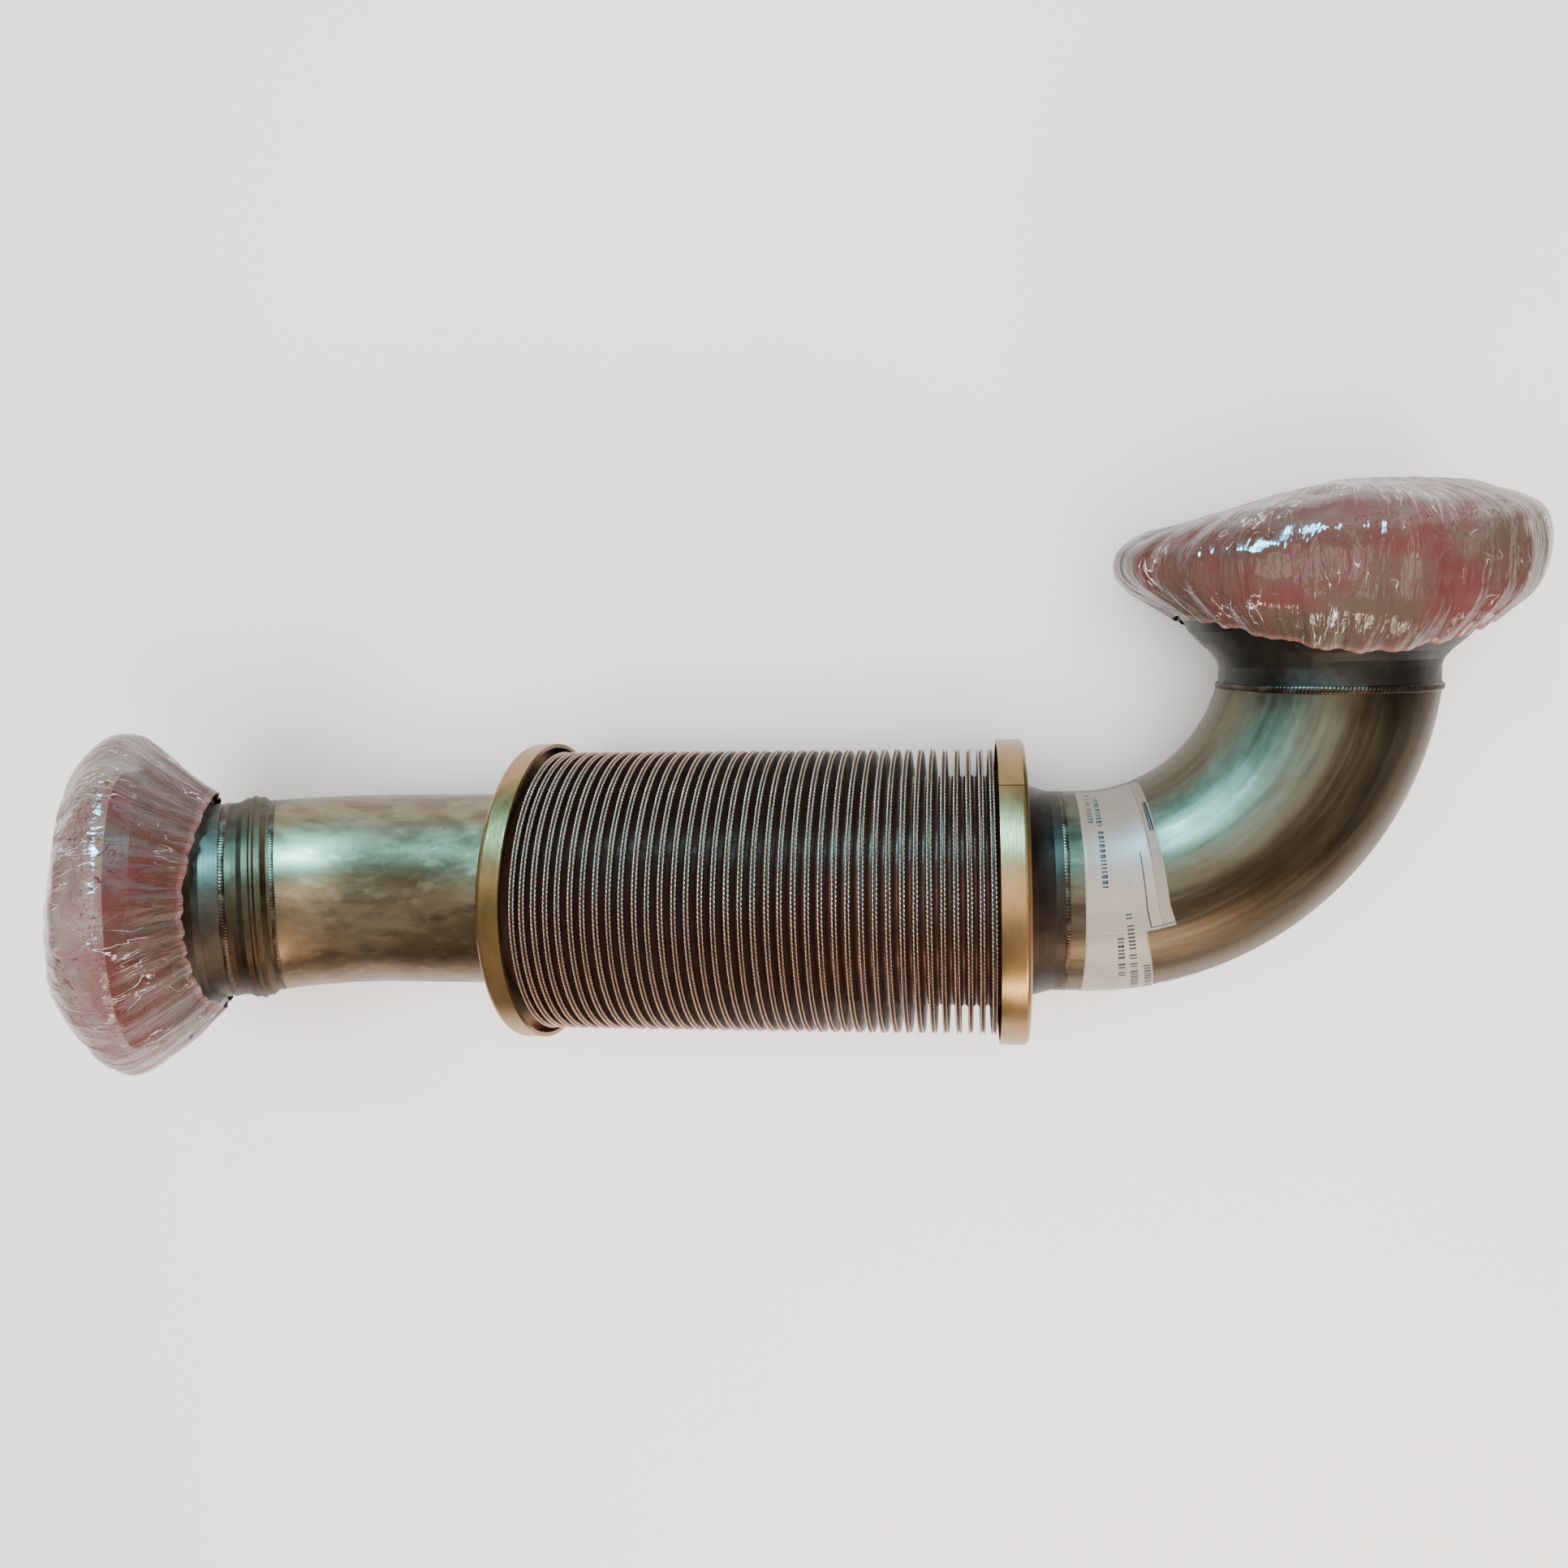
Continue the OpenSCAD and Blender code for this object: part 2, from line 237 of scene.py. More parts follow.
# ---------- metals ----------
def tinted_steel(name, coords, tint, stretch, shade, rough):
    """brushed stainless tube, stained brown where it was heated

    tint(g, s, turn) gives the stain, 0 to 1; stretch is how much longer than wide the brush lines
    are; shade multiplies the metal's colours; rough is the mean roughness"""
    g = Graph(name)

    def shaded(*rgb):
        return tuple(a * b for a, b in zip(rgb, shade))

    s, turn, r = coords(g)
    here = g.join(s, turn, r)
    lay = g.join(g.math("DIVIDE", s, stretch), turn, r)
    patches = g.noise(g.join(g.math("DIVIDE", s, 2.2), turn, r), 24, 5, 0.6, 0.25)
    base = g.ramp(patches, (0.30, shaded(0.068, 0.055, 0.034)), (0.47, shaded(0.112, 0.094, 0.061)),
                  (0.62, shaded(0.155, 0.133, 0.090)), (0.78, shaded(0.090, 0.092, 0.070)))
    dark_streaks = g.step(g.noise(lay, 95, 4, 0.55), 0.42, 0.66, 0.0, 0.6)
    base = g.mix(dark_streaks, base, shaded(0.052, 0.038, 0.025))
    bright_streaks = g.step(g.noise(lay, 210, 2, 0.5), 0.55, 0.7, 0.0, 0.3)
    base = g.mix(bright_streaks, base, shaded(0.22, 0.19, 0.145))
    stain = g.ramp(g.noise(here, 60, 4, 0.6),
                   (0.35, (0.026, 0.014, 0.008)), (0.6, (0.055, 0.034, 0.018)))
    base = g.mix(tint(g, s, turn), base, stain)
    spots = g.mul(g.step(g.cells(here, 62), 0.055, 0.03), g.step(patches, 0.5, 0.6))
    base = g.mix(spots, base, (0.06, 0.045, 0.03))
    nicks = g.step(g.cells(g.join(s, g.mul(turn, 2.4), r), 31), 0.035, 0.02)
    base = g.mix(g.mul(nicks, 0.8), base, (0.03, 0.02, 0.015))
    # painted shade darkens the base colour towards the bottom
    g.set(Base_Color=g.with_painted_shade_below(base), Metallic=0.93,
          Roughness=g.step(patches, 0.3, 0.75, rough - 0.1, rough + 0.1))
    brush_lines = g.bump(g.noise(lay, 420, 3, 0.6), 0.00006, 0.7)
    g.set(Normal=g.bump(g.noise(here, 38, 2), 0.0009, 0.35, brush_lines))
    return g.m


def dark_steel(name, coords, colour=(0.10, 0.082, 0.068)):
    """turned or cast steel with a dark, patchy surface and fine lathe lines"""
    g = Graph(name)
    s, turn, r = coords(g)
    patches = g.noise(g.join(s, turn, r), 45, 5, 0.65, 0.4)
    dark = tuple(c * 0.6 for c in colour)
    light = tuple(min(1, c * 2.1) for c in colour)
    base = g.ramp(patches, (0.3, dark), (0.55, colour), (0.8, light))
    lathe = g.noise(g.join(g.add(s, r), g.math("DIVIDE", turn, 30.0), 0.0), 900, 2)
    # painted shade darkens the base colour towards the bottom
    g.set(Base_Color=g.with_painted_shade_below(base, 0.6), Metallic=0.85,
          Roughness=g.step(patches, 0.3, 0.8, 0.38, 0.62))
    g.set(Normal=g.bump(lathe, 0.0001, 0.6, g.bump(patches, 0.0006, 0.3)))
    return g.m


def chromate(name, coords, seed):
    """yellow zinc chromate: gold with copper and pink clouds, worn in small patches"""
    g = Graph(name)
    s, turn, r = coords(g)
    v = g.join(g.add(s, seed), turn, r)
    cloud = g.noise(v, 21, 3, 0.55, 0.8)
    base = g.ramp(cloud, (0.28, (0.135, 0.098, 0.034)), (0.42, (0.22, 0.136, 0.050)),
                  (0.55, (0.29, 0.165, 0.070)), (0.68, (0.32, 0.135, 0.078)),
                  (0.82, (0.20, 0.095, 0.050)))
    worn = g.step(g.noise(v, 240, 4, 0.7), 0.60, 0.75, 0.0, 0.5)
    base = g.mix(worn, base, (0.11, 0.085, 0.045))
    # painted shade darkens the base colour towards the bottom
    g.set(Base_Color=g.with_painted_shade_below(base, 0.5), Metallic=0.88,
          Roughness=g.step(cloud, 0.3, 0.8, 0.26, 0.40))
    lines = g.noise(g.join(g.mul(s, 14.0), turn, r), 160, 2)
    g.set(Normal=g.bump(lines, 0.00008, 0.6, g.bump(cloud, 0.0004, 0.3)))
    return g.m


def weld_metal(name):
    g = Graph(name)
    v = g.coords()
    patches = g.noise(v, 150, 4, 0.6)
    base = g.ramp(patches, (0.3, (0.020, 0.012, 0.008)), (0.5, (0.045, 0.030, 0.020)),
                  (0.78, (0.12, 0.09, 0.065)))
    g.set(Base_Color=base, Metallic=0.9, Roughness=g.step(patches, 0.3, 0.7, 0.25, 0.45))
    g.set(Normal=g.bump(g.noise(v, 700, 2), 0.0002, 0.4))
    return g.m


def liner_metal(name, coords):
    """bright drawn steel with a little soot"""
    g = Graph(name)
    s, turn, r = coords(g)
    soot = g.noise(g.join(s, turn, r), 30, 5, 0.6)
    lines = g.noise(g.join(g.mul(s, 20.0), turn, r), 120, 3)
    g.set(Base_Color=g.ramp(soot, (0.3, (0.30, 0.28, 0.25)), (0.7, (0.58, 0.57, 0.54))),
          Metallic=0.95)
    g.set(Roughness=g.step(soot, 0.3, 0.7, 0.28, 0.42), Normal=g.bump(lines, 0.0001, 0.6))
    return g.m


def knit(name, coords):
    """knitted wire: two sets of waves that cross, each 1.2 mm apart"""
    g = Graph(name)
    s, turn, r = coords(g)
    radians_per_m = 5200.0
    a = g.math("SINE", g.mul(g.add(s, turn), radians_per_m))
    b = g.math("SINE", g.mul(g.sub(s, turn), radians_per_m))
    weave = g.mul(a, b)
    g.set(Base_Color=g.mix(g.step(weave, -0.4, 0.5), (0.07, 0.065, 0.06), (0.55, 0.54, 0.52)))
    g.set(Metallic=0.9, Roughness=g.step(weave, -0.5, 0.8, 0.6, 0.32),
          Normal=g.bump(weave, 0.0003, 0.8))
    return g.m


# ---------- mesh helpers ----------
def new_object(name, verts, faces, uvs=None):
    """a smooth-shaded mesh object; uvs gives one pair for each vertex"""
    me = bpy.data.meshes.new(name)
    me.from_pydata([tuple(map(float, v)) for v in verts], [], faces)
    if uvs is not None:
        layer = me.uv_layers.new(name="UVMap")
        flat = np.array([uvs[v] for f in me.polygons for v in f.vertices], np.float32)
        layer.data.foreach_set("uv", flat.ravel())
    me.polygons.foreach_set("use_smooth", [True] * len(me.polygons))
    me.validate()
    ob = bpy.data.objects.new(name, me)
    bpy.context.scene.collection.objects.link(ob)
    return ob


def grid_faces(rows, cols):
    """quads between the rows of a grid whose columns close round"""
    out = []
    for i in range(rows - 1):
        for j in range(cols):
            k = (j + 1) % cols
            out.append((i * cols + j, i * cols + k, (i + 1) * cols + k, (i + 1) * cols + j))
    return out


def paint(ob, material):
    ob.data.materials.clear()
    ob.data.materials.append(material)


def dress(ob, material):
    paint(ob, material)


# ---------- bellows ----------
WAVES = 38
CREST_R, ROOT_R = 0.0735, 0.05875
AROUND = 240
CREST_HALF = 0.00134    # half the width of a convolution over its straight legs
VALLEY_RISE = 0.0017    # from a valley's floor up to where a leg starts
LEG_FOOT = 0.003
VALLEY_POINTS = 5
FIRST_CREST, LAST_CREST = 0.0044, 0.0030      # from the two end rings' lips
FIRST_VALLEY, LAST_VALLEY = 0.0028, 0.0026    # from the first and last crest
CUFF_REACH, CUFF_R = 0.0075, ROOT_R - 0.0002


def crest_gap(k):
    """relative distance from crest k to the next: the convolutions crowd towards both ends"""
    return 1 - 0.17 * math.exp(-k / 2.5) - 0.13 * math.exp(-(WAVES - 2 - k) / 1.8)


gaps = np.array([crest_gap(k) for k in range(WAVES - 1)])
places = np.concatenate(([0], np.cumsum(gaps) / gaps.sum()))
crests = LIP_IN + FIRST_CREST + places * (LIP_OUT - LIP_IN - (FIRST_CREST + LAST_CREST))
valleys = np.concatenate(([crests[0] - FIRST_VALLEY], (crests[1:] + crests[:-1]) / 2,
                          [crests[-1] + LAST_VALLEY]))
# one crest in mm, from its middle and from the largest radius: two lips with a groove between
# them, the left one higher
CREST_SHAPE = [(-1.34, -3.0), (-1.33, -1.5), (-1.28, -0.6), (-1.12, -0.14), (-0.88, 0.0),
               (-0.64, -0.14), (-0.5, -0.55), (-0.42, -1.2), (-0.2, -1.75), (0.12, -1.8),
               (0.36, -1.35), (0.46, -0.85), (0.62, -0.5), (0.86, -0.38), (1.1, -0.52),
               (1.27, -0.95), (1.33, -1.7), (1.34, -3.0)]


def valley_point(floor_x, reach, i):
    """point i on the curve from a valley's floor to the foot of a leg, reach away along x"""
    a = math.pi / 2 * i / VALLEY_POINTS
    return floor_x + reach * math.sin(a), ROOT_R + VALLEY_RISE * (1 - math.cos(a))


def wave_profile(k):
    """(x, radius) along one convolution, from its left valley to its right one"""
    x, left, right = crests[k], valleys[k], valleys[k + 1]
    leg = [ROOT_R + LEG_FOOT, (ROOT_R + CREST_R) / 2]
    points = [valley_point(left, x - CREST_HALF - left, i) for i in range(VALLEY_POINTS)]
    points += [(x - CREST_HALF, r) for r in leg]
    points += [(x + dx / 1000, CREST_R + dr / 1000) for dx, dr in CREST_SHAPE]
    points += [(x + CREST_HALF, r) for r in reversed(leg)]
    points += [valley_point(right, -(right - x - CREST_HALF), i) for i in range(VALLEY_POINTS, 0, -1)]
    return points


def close_uv_seam(ob):
    """lets the last column of faces run on past u = 1 instead of back across the whole map"""
    layer = ob.data.uv_layers["UVMap"].data
    loops = np.zeros(len(layer) * 2, np.float32)
    layer.foreach_get("uv", loops)
    loops = loops.reshape(-1, 4, 2)
    wrap = loops[:, :, 0].max(1) - loops[:, :, 0].min(1) > 0.5
    fixed = loops[wrap]
    fixed[:, :, 0][fixed[:, :, 0] < 0.5] += 1
    loops[wrap] = fixed
    layer.foreach_set("uv", loops.ravel())


def bellows_part(name, first, last, lead, tail):
    """convolutions first to last, between the plain cuffs lead and tail"""
    profile = list(lead)
    for k in range(first, last):
        profile += wave_profile(k)
    profile += list(tail) if tail else [(valleys[last], ROOT_R)]
    verts, uvs = [], []
    for x, r in profile:
        for j in range(AROUND):
            a = 2 * math.pi * j / AROUND
            waver = 0.00016 * math.sin(a * 2 + x * 400) if r > 0.07 else 0.0
            verts.append((x + waver, AXIS_Y + r * math.cos(a), r * math.sin(a)))
            uvs.append((a / (2 * math.pi), (r - ROOT_R) / (CREST_R - ROOT_R)))
    ob = new_object(name, verts, grid_faces(len(profile), AROUND), uvs)
    close_uv_seam(ob)
    return ob


def bellows_metal():
    """painted shade between the convolutions and a painted highlight on their crests; v is 0 at a root
    and 1 at a crest
    """
    g = Graph("bellows_metal")
    u, v, _ = g.split(g.uv())
    x = g.split(g.coords())[0]
    # painted light by radius: painted shade on the walls and roots, darkest in a band in each crest's
    # groove and just under its lips, and a painted highlight on the crests
    crest_highlight_and_shade = g.ramp(v, (0.0, (0.115, 0.052, 0.035)), (0.5, (0.125, 0.058, 0.040)),
                   (0.80, (0.115, 0.058, 0.041)), (0.90, (0.055, 0.030, 0.022)),
                   (0.955, (0.40, 0.240, 0.165)), (1.0, (0.74, 0.50, 0.36)))
    dirt_and_shade = g.noise(g.join(g.mul(u, 30.0), g.mul(x, 300.0), 0.0), 2.2, 4, 0.7)
    base = g.mix(g.step(dirt_and_shade, 0.55, 0.72, 0.0, 0.65), crest_highlight_and_shade, (0.13, 0.085, 0.06))
    clouds = g.noise(g.coords(), 22, 4, 0.6)
    base = g.mix(g.step(clouds, 0.5, 0.72, 0.0, 0.15), base, (0.17, 0.20, 0.20))
    # fine slanted ripples, only on the crests
    marks = g.math("SINE", g.add(g.mul(u, 2 * math.pi * 210), g.mul(x, 5200.0)))
    dark_marks = g.mul(g.step(marks, -0.2, -0.9), g.step(v, 0.9, 0.98, 0.0, 0.45))
    g.set(Base_Color=g.mix(dark_marks, base, (0.16, 0.12, 0.10)))
    g.set(Metallic=g.step(v, 0.6, 0.95, 0.55, 0.9), Roughness=g.step(dirt_and_shade, 0.3, 0.7, 0.27, 0.46))
    ripple = g.mul(marks, g.step(v, 0.9, 0.97))
    g.set(Normal=g.bump(ripple, 0.0003, 0.9, g.bump(dirt_and_shade, 0.0002, 0.3)))
    return g.m


def build_bellows():
    """the bellows in four pieces, split at valleys between the convolutions"""
    metal = bellows_metal()
    cuff_in = [(LIP_IN - CUFF_REACH, CUFF_R), (valleys[0] - 0.0006, CUFF_R)]
    cuff_out = [(valleys[WAVES], ROOT_R), (valleys[WAVES] + 0.0006, CUFF_R),
                (LIP_OUT + CUFF_REACH, CUFF_R)]
    parts = [("bellows_inlet_end", 0, 9, cuff_in, ()), ("bellows_inlet_middle", 9, 19, (), ()),
             ("bellows_outlet_middle", 19, 29, (), ()),
             ("bellows_outlet_end", 29, WAVES, (), cuff_out)]
    for i, (name, first, last, lead, tail) in enumerate(parts):
        part = bellows_part(name, first, last, lead, tail)
        dress(part, metal)
        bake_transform(part)
        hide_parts("bellows_outer_ply", "bellows_inner_ply")


build_bellows()

# ---------- weld beads with real ripples ----------
BEAD_COLS, BEAD_ROWS = 720, 9
BEAD_SINK = 0.0003      # how far a bead's edge is sunk into the pipe
bead_metal = weld_metal("weld_metal")


def bead(name, centre, axis, across, radius, width, height, ripples, node, body, seed, squash=1.0):
    """a rippled bead round a pipe: axis is the pipe's direction, across a unit vector square to it,
    and squash stretches it along across"""
    side = axis.cross(across)
    verts = []
    for i in range(BEAD_ROWS):
        b = math.pi * i / (BEAD_ROWS - 1)
        for j in range(BEAD_COLS):
            a = 2 * math.pi * j / BEAD_COLS
            wobble = noise.noise(Vector((math.cos(a) * 4, math.sin(a) * 4, seed)))
            scallop = abs(math.sin(ripples * a / 2 + 0.9 * math.cos(b)))
            h = height * (0.55 + 0.45 * scallop) * (1 + 0.25 * wobble)
            r = radius + h * math.sin(b) - BEAD_SINK
            z = -width * math.cos(b) * (1 + 0.22 * wobble)
            verts.append(centre + axis * z
                         + (across * math.cos(a) * squash + side * math.sin(a)) * r)
    ob = new_object(name, verts, grid_faces(BEAD_ROWS, BEAD_COLS))
    dress(ob, bead_metal)
    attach(ob, body)
    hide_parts(node)


bead("elbow_weld_bead", Vector((0, -0.045, 0)), Y, X, PIPE_R + 0.0003, 0.0018, 0.0009, 190,
     "elbow_weld", "outlet_side", 1.0, 1.012)
bead("neck_weld_bead", Vector((LIP_OUT + 0.032, AXIS_Y, 0)), X, Y, PIPE_R - 0.0001, 0.0017,
     0.0006, 190, "outlet_neck_weld", "outlet_side", 2.0)
bead("seam_weld_bead", IN_FACE - IN_DIR * 0.045, IN_DIR, Y, PIPE_R, 0.0018, 0.0007, 190,
     "inlet_seam_weld", "inlet_side", 3.0)
bead("collar_weld_bead", IN_FACE - IN_DIR * 0.067, IN_DIR, Y, PIPE_R - 0.0001, 0.0018, 0.0006,
     210, "inlet_collar_weld", "inlet_side", 4.0)


# ---------- CAD pieces that keep their shape ----------
def along_x(at):
    return lambda g: g.pipe_coords((at, AXIS_Y, 0.0), "x")


def outlet_axis(g):
    return g.pipe_coords((0.0, 0.0, 0.0), "y")


def wavy(g, s, turn, scale, reach, detail_rough=0.6):
    """s moved by up to reach metres by a noise, so that the edge of a stain wavers"""
    return g.add(s, g.mul(g.noise(g.join(s, turn, 0.0), scale, 4, detail_rough), reach))


def pipe_tint(g, s, turn):
    """brown beside the end ring, and in a wavy band and beyond it beside the collar"""
    at = wavy(g, s, turn, 55, 0.016, 0.65)
    ring = g.step(at, -0.022, 0.006)
    band = g.line(at, -0.1385, 0.009, 0.002)
    beyond = g.mul(g.step(at, -0.138, -0.152), 0.6)
    return g.mul(g.math("MAXIMUM", g.math("MAXIMUM", ring, band), beyond), 0.85)


def elbow_tint(g, s, turn):
    """brown at the elbow's two ends"""
    at = wavy(g, s, turn, 50, 0.03)
    return g.mul(g.math("MAXIMUM", g.step(at, 0.158, 0.198), g.step(at, 0.012, -0.004)), 0.9)


def collar_tint(g, s, turn):
    """brown all over, most of it at the seam weld"""
    return g.step(wavy(g, s, turn, 70, 0.01), -0.060, -0.044, 0.25, 0.95)


inlet_axis, elbow_axis = Graph.inlet_coords, Graph.bend_coords
keep = {
    "inlet_pipe": tinted_steel("pipe_steel", along_x(LIP_IN), pipe_tint, 2.2,
                               (1.45, 1.17, 0.98), 0.42),
    "elbow": tinted_steel("elbow_steel", elbow_axis, elbow_tint, 14.0, (0.76, 0.68, 0.62), 0.44),
    "inlet_collar": tinted_steel("collar_steel", inlet_axis, collar_tint, 0.3,
                                 (0.62, 0.46, 0.34), 0.54),
    "outlet_neck": dark_steel("neck_steel", along_x(LIP_OUT), (0.031, 0.021, 0.015)),
    "inlet_neck": dark_steel("cup_steel", along_x(LIP_IN)),
    "inlet_flare": dark_steel("inlet_flare_steel", inlet_axis, (0.045, 0.034, 0.024)),
    "outlet_flare": dark_steel("outlet_flare_steel", outlet_axis, (0.030, 0.028, 0.023)),
    "inlet_flange": dark_steel("inlet_flange_steel", inlet_axis, (0.075, 0.062, 0.048)),
    "outlet_flange": dark_steel("outlet_flange_steel", outlet_axis, (0.062, 0.052, 0.043)),
    "inlet_flange_weld": weld_metal("inlet_fillet_metal"),
    "outlet_flange_weld": weld_metal("outlet_fillet_metal"),
    "inlet_end_ring": chromate("inlet_ring_chromate", along_x(LIP_IN), 0.0),
    "outlet_end_ring": chromate("outlet_ring_chromate", along_x(LIP_OUT), 3.0),
    "inlet_liner": liner_metal("inlet_liner_metal", along_x(LIP_IN)),
    "outlet_liner": liner_metal("outlet_liner_metal", along_x(LIP_OUT)),
    "floating_sleeve": liner_metal("sleeve_metal", along_x(MID)),
    "inlet_guide_ring": knit("inlet_knit", along_x(MID)),
    "outlet_guide_ring": knit("outlet_knit", along_x(MID)),
}
for name, material in keep.items():
    paint(nodes[name], material)

# ---------- the label ----------
PAPER_LIFT, PAPER_THICK = 0.00006, 0.00022
INK_LIFT, INK_THICK, INK_STEP = 0.00028, 0.00003, 0.0008
LABEL_START, LABEL_END, LOWER_END = -0.002, 0.0372, 0.0245
LABEL_TOP, LABEL_NOTCH, LABEL_FOOT = 86, -12, -68      # degrees round the elbow
CORNER_R, CORNER_STRIPS = 0.005, 6
INNER_STRETCH = 0.26    # lets the label's lengths out on the shorter inner side of the bend


def on_elbow(s, a, lift):
    """a point over the elbow: s metres along its bend and a degrees round it, from the side that
    faces up towards the inner side of the bend; s below 0 is on the straight start"""
    t = math.radians(a)
    r = PIPE_R + lift
    s = s / (1 - INNER_STRETCH * max(0.0, math.sin(t)))
    q = s / BEND_R
    out = Vector((math.sin(q), -math.cos(q), 0)) if s > 0 else Vector((0, -1, 0))
    at = BEND_C + out * (BEND_R - r * math.sin(t)) + Z * r * math.cos(t)
    return at + (X * s if s < 0 else Vector((0, 0, 0)))


def patch(name, spans, lift, thick, material, step=0.0012):
    """a thin sheet over the elbow made of spans (s0, s1, a0, a1), with an upper face and edges"""
    verts, faces, uvs = [], [], []
    for s0, s1, a0, a1 in spans:
        ns = max(1, int((s1 - s0) / step))
        na = max(1, int(abs(a1 - a0) * math.pi / 180 * PIPE_R / step))
        base, row = len(verts), na + 1
        for i in range(ns + 1):
            for j in range(row):
                s, a = s0 + (s1 - s0) * i / ns, a0 + (a1 - a0) * j / na
                verts.append(on_elbow(s, a, lift + thick))
                uvs.append((s, math.radians(a) * PIPE_R))
        for i in range(ns):
            for j in range(na):
                k = base + i * row + j
                faces.append((k, k + row, k + row + 1, k + 1))
        rim = [base + j for j in range(row)]
        rim += [base + i * row + na for i in range(1, ns + 1)]
        rim += [base + ns * row + j for j in range(na - 1, -1, -1)]
        rim += [base + i * row for i in range(ns - 1, 0, -1)]
        low = len(verts)
        for k in rim:
            s, t = uvs[k]
            verts.append(on_elbow(s, math.degrees(t / PIPE_R), lift))
            uvs.append((s, t))
        for k in range(len(rim)):
            n = (k + 1) % len(rim)
            faces.append((rim[k], rim[n], low + n, low + k))
    ob = new_object(name, verts, faces, uvs)
    dress(ob, material)
    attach(ob, "outlet_side")
    return ob


def label_paper():
    g = Graph("label_paper")
    grain = g.noise(g.uv(), 900, 5, 0.6)
    cloud = g.noise(g.uv(), 60, 3, 0.6)
    base = g.mix(g.step(cloud, 0.4, 0.7, 0.0, 0.6), (0.26, 0.228, 0.182), (0.22, 0.192, 0.155))
    g.set(Base_Color=base, Roughness=g.step(grain, 0.3, 0.7, 0.34, 0.5),
          Normal=g.bump(grain, 0.00005, 0.5))
    return g.m


def label_ink():
    """black ink, thin and grey where the printer left dots"""
    g = Graph("label_ink")
    dots = g.noise(g.uv(), 2600, 2, 0.7)
    base = g.mix(g.step(dots, 0.52, 0.62, 0.0, 0.6), (0.012, 0.012, 0.015), (0.10, 0.095, 0.095))
    g.set(Base_Color=base, Roughness=g.step(dots, 0.3, 0.7, 0.4, 0.6))
    return g.m


def rounded(s0, s1, a0, a1, r):
    """a span whose far upper corner is rounded with narrowing strips"""
    out = [(s0, s1 - r, a0, a1)]
    turn = math.degrees(r / PIPE_R)
    for i in range(CORNER_STRIPS):
        q = (i + 0.5) / CORNER_STRIPS
        out.append((s1 - r + r * i / CORNER_STRIPS, s1 - r + r * (i + 1) / CORNER_STRIPS,
                    a0, a1 - turn * (1 - math.sqrt(1 - q * q))))
    return out


def stroke_rows():
    """one plain bar, and rows of plain strokes of one height with no crossbars, so that no letter
    shape can come of them"""
    marks = [(0.0340, 0.0362, 40, 60)]
    # each row: its place along the elbow, the strokes' height, and its first and last degree
    rows = [(0.0014, 0.0028, 52, 82), (0.0062, 0.0028, 14, 74), (0.0116, 0.0026, -42, -14),
            (0.0162, 0.0028, -62, 0), (0.0212, 0.0026, -64, -32)]
    for s, tall, a, a_end in rows:
        while a < a_end:
            wide = random.choice([0.9, 1.2, 1.9])
            marks.append((s, s + tall, a, a + wide))
            a += wide + (3.4 if random.random() < 0.16 else 1.1)
    return marks


LABEL = rounded(LABEL_START, LABEL_END, LABEL_NOTCH, LABEL_TOP, CORNER_R)
LABEL += [(LABEL_START, LOWER_END, LABEL_FOOT, LABEL_NOTCH)]
FRAME_LINES = [(0.0262, 0.0390, -10.5, -9.9), (0.0262, 0.0268, -10.5, 30)]
paper = patch("label_sheet", LABEL, PAPER_LIFT, PAPER_THICK, label_paper())
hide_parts("label")
patch("label_marks", stroke_rows(), INK_LIFT, INK_THICK, label_ink(), INK_STEP)
patch("label_rules", FRAME_LINES, INK_LIFT, INK_THICK, label_ink(), INK_STEP)

# ---------- packing film ----------
FILM_ROWS, FILM_COLS = 110, 420
FILM_UV_R = 0.075       # radius at which the film's u is a true length
NORMAL_ROW = 20         # a row on the film's side, where outwards is away from the middle
SHOVE_FROM, SHOVE_OVER = 20, 30         # mm above the flange's face


def spline(points, n):
    """n points on a smooth curve through the given (r, z) points, evenly spaced along it"""
    p = np.array(points, float)
    p = np.vstack([2 * p[0] - p[1], p, 2 * p[-1] - p[-2]])
    out = []
    for i in range(1, len(p) - 2):
        a, b, c, d = p[i - 1], p[i], p[i + 1], p[i + 2]
        for t in np.linspace(0, 1, 24, endpoint=False):
            out.append(0.5 * (2 * b + (c - a) * t + (2 * a - 5 * b + 4 * c - d) * t * t
                              + (3 * b - a - 3 * c + d) * t ** 3))
    out.append(p[-2])
    out = np.array(out)
    length = np.concatenate(([0], np.cumsum(np.linalg.norm(np.diff(out, axis=0), axis=1))))
    at = np.linspace(0, length[-1], n)
    return np.stack([np.interp(at, length, out[:, 0]), np.interp(at, length, out[:, 1])], 1)


def ridged(p, f, seed):
    """noise with sharp ridges, f of them to the metre"""
    return 1 - 2 * abs(noise.noise(Vector((p[0] * f + seed, p[1] * f - seed, p[2] * f + 2 * seed))))


def film_lift(p, a, t, folds, seed, phases):
    """mm by which the film stands off its smooth shape at p; a is the angle round the flange, and
    t runs from 0 at the hem to 1 at the middle"""
    warp = 1.1 * math.sin(3 * a + phases[0]) + 0.7 * math.sin(7 * a + phases[1])
    pleat = abs(math.sin((folds * a + warp + 2.2 * math.sin(t * 5 + phases[2])) / 2))
    fold = abs(math.sin((folds * 0.42 * a + 1.7 * warp + 3 * t) / 2))
    crush = (ridged(p, 15, seed) * 0.62 + ridged(p, 33, seed + 5) * 0.27
             + ridged(p, 80, seed + 9) * 0.08)
    lift = (math.exp(-t * 6.5) * 0.75 * pleat + 2.3 * math.exp(-t * 2.6) * fold
            + 3.4 * (crush - 0.35) * min(1, 0.2 + 2.4 * t))
    lift += 4.2 * noise.noise(Vector(p * 11 + seed)) * min(1, 0.15 + 2 * t)
    calm_middle = min(1.0, (1 - t) * 9)
    return lift * MM * (0.35 + 0.65 * calm_middle)


